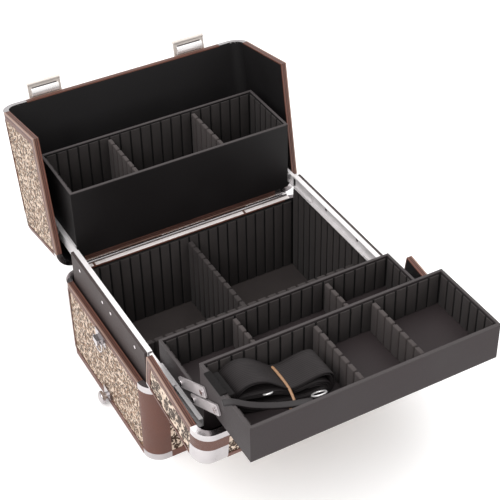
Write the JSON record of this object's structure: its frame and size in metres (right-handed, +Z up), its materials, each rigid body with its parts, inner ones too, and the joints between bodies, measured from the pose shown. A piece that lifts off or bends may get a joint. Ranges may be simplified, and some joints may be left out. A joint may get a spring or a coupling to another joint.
{
  "type": "makeup train case",
  "caption": "Rectangular cosmetics train case standing open, with a split hinged lid, sliding and swing-up divided trays, latches, handle and a folded carry strap.",
  "frame": {"origin": "centre of the base's underside", "axes": "+X to the case's right, +Y from the front lid to the rear lid, +Z up"},
  "size_m": [0.349, 0.5889, 0.2831],
  "materials": {
    "board": "black lined board",
    "leather": "brown grained leather",
    "print": "cream and tan spotted print",
    "chrome": "polished",
    "steel": "bright folded steel",
    "trayshell": "charcoal leathercloth",
    "lining": "charcoal grooved foam",
    "panel": "charcoal painted board",
    "webbing": "dark grey webbing",
    "rubber": "tan rubber",
    "grip": "dark handle"
  },
  "bodies": {
    "base": {"base_shell": "board", "base_edge_frame": "leather", "base_corner_caps": "chrome", "base_corner_leathers": "leather", "base_print_panels": "print", "floor_pad": "lining", "compartment_liners": "lining", "cross_divider": "lining", "main_divider": "lining", "side_boards": "panel", "slide_rails": "steel", "rail_rivets": "chrome", "rear_rim_strip": "chrome", "rear_hinge_base_leaf": "chrome", "rear_hinge_pin": "chrome", "front_hinge_base_leaf": "chrome", "front_hinge_pin": "chrome", "strap_ring_mounts": "chrome", "side_studs": "chrome"},
    "rear_lid": {"rear_lid_shell": "board", "rear_lid_edge_frame": "leather", "rear_lid_corner_caps": "chrome", "rear_lid_corner_leathers": "leather", "rear_lid_print_panels": "print", "rear_hinge_lid_leaf": "chrome", "latch_mounts": "chrome", "handle_mounts": "chrome"},
    "front_lid": {"front_lid_shell": "board", "front_lid_edge_frame": "leather", "front_lid_corner_caps": "chrome", "front_lid_corner_leathers": "leather", "front_lid_print_panels": "print", "front_hinge_lid_leaf": "chrome", "latch_keepers": "chrome"},
    "lower_tray": {"lower_tray_box": "trayshell", "lower_tray_lining": "lining", "lower_tray_dividers": "lining", "lower_tray_runners": "steel", "lower_link_rivets": "chrome"},
    "front_middles": {"front_slide_middles": "steel"},
    "rear_links": {"rear_links": "steel"},
    "front_links": {"front_links": "steel"},
    "upper_tray": {"upper_tray_box": "trayshell", "upper_tray_lining": "lining", "upper_tray_dividers": "lining", "upper_link_rivets": "chrome", "carry_strap": "webbing", "strap_band": "rubber"},
    "rear_tray": {"rear_tray_box": "trayshell", "rear_tray_lining": "lining", "rear_tray_dividers": "lining", "rear_tray_runners": "steel"},
    "rear_middles": {"rear_slide_middles": "steel"},
    "hasp_left": {"latch_hasp_left": "chrome"},
    "hasp_right": {"latch_hasp_right": "chrome"},
    "handle": {"carry_handle": "grip"},
    "ring_left": {"strap_ring_left": "chrome"},
    "ring_right": {"strap_ring_right": "chrome"}
  },
  "joints": [
    {"name": "rear_lid_hinge", "type": "hinge", "parent": "base", "child": "rear_lid", "pos_m": [0, 0.119, 0.11225], "axis": [1, 0, 0], "range_deg": [0, 15]},
    {"name": "front_lid_hinge", "type": "hinge", "parent": "base", "child": "front_lid", "pos_m": [0, -0.119, 0.11225], "axis": [-1, 0, 0], "range_deg": [0, 8]},
    {"name": "lower_tray_slide", "type": "slide", "parent": "base", "child": "lower_tray", "axis": [0, 1, 0], "range_m": [0, 0.1155]},
    {"name": "front_middle_slide", "type": "slide", "parent": "base", "child": "front_middles", "axis": [0, 1, 0], "range_m": [0, 0.05775]},
    {"name": "rear_tray_slide", "type": "slide", "parent": "base", "child": "rear_tray", "axis": [0, -1, 0], "range_m": [0, 0.103]},
    {"name": "rear_middle_slide", "type": "slide", "parent": "base", "child": "rear_middles", "axis": [0, -1, 0], "range_m": [0, 0.0515]},
    {"name": "front_link_swing", "type": "hinge", "parent": "lower_tray", "child": "front_links", "pos_m": [0, -0.198, 0.164], "axis": [-1, 0, 0], "range_deg": [0, 120]},
    {"name": "rear_link_swing", "type": "hinge", "parent": "lower_tray", "child": "rear_links", "pos_m": [0, -0.17, 0.164], "axis": [-1, 0, 0], "range_deg": [0, 120]},
    {"name": "upper_tray_turn", "type": "hinge", "parent": "front_links", "child": "upper_tray", "pos_m": [0, -0.2465, 0.192], "axis": [-1, 0, 0], "range_deg": [-120, 0]},
    {"name": "left_hasp_hinge", "type": "hinge", "parent": "rear_lid", "child": "hasp_left", "pos_m": [-0.103, 0.26667, 0.2313], "axis": [-1, 0, 0], "range_deg": [0, 95]},
    {"name": "right_hasp_hinge", "type": "hinge", "parent": "rear_lid", "child": "hasp_right", "pos_m": [0.093, 0.26667, 0.2313], "axis": [-1, 0, 0], "range_deg": [0, 95]},
    {"name": "handle_fold", "type": "hinge", "parent": "rear_lid", "child": "handle", "pos_m": [0, 0.25775, 0.16609], "axis": [1, 0, 0], "range_deg": [-10.4, 160]},
    {"name": "left_ring_swing", "type": "hinge", "parent": "base", "child": "ring_left", "pos_m": [-0.17, 0, 0.1], "axis": [0, 1, 0], "range_deg": [0, 150]},
    {"name": "right_ring_swing", "type": "hinge", "parent": "base", "child": "ring_right", "pos_m": [0.17, 0, 0.1], "axis": [0, -1, 0], "range_deg": [0, 150]}
  ],
  "couplings": [
    {"joint": "front_middle_slide", "follows": "lower_tray_slide", "ratio": 0.5},
    {"joint": "rear_middle_slide", "follows": "rear_tray_slide", "ratio": 0.5},
    {"joint": "rear_link_swing", "follows": "front_link_swing", "ratio": 1},
    {"joint": "upper_tray_turn", "follows": "front_link_swing", "ratio": -1}
  ]
}
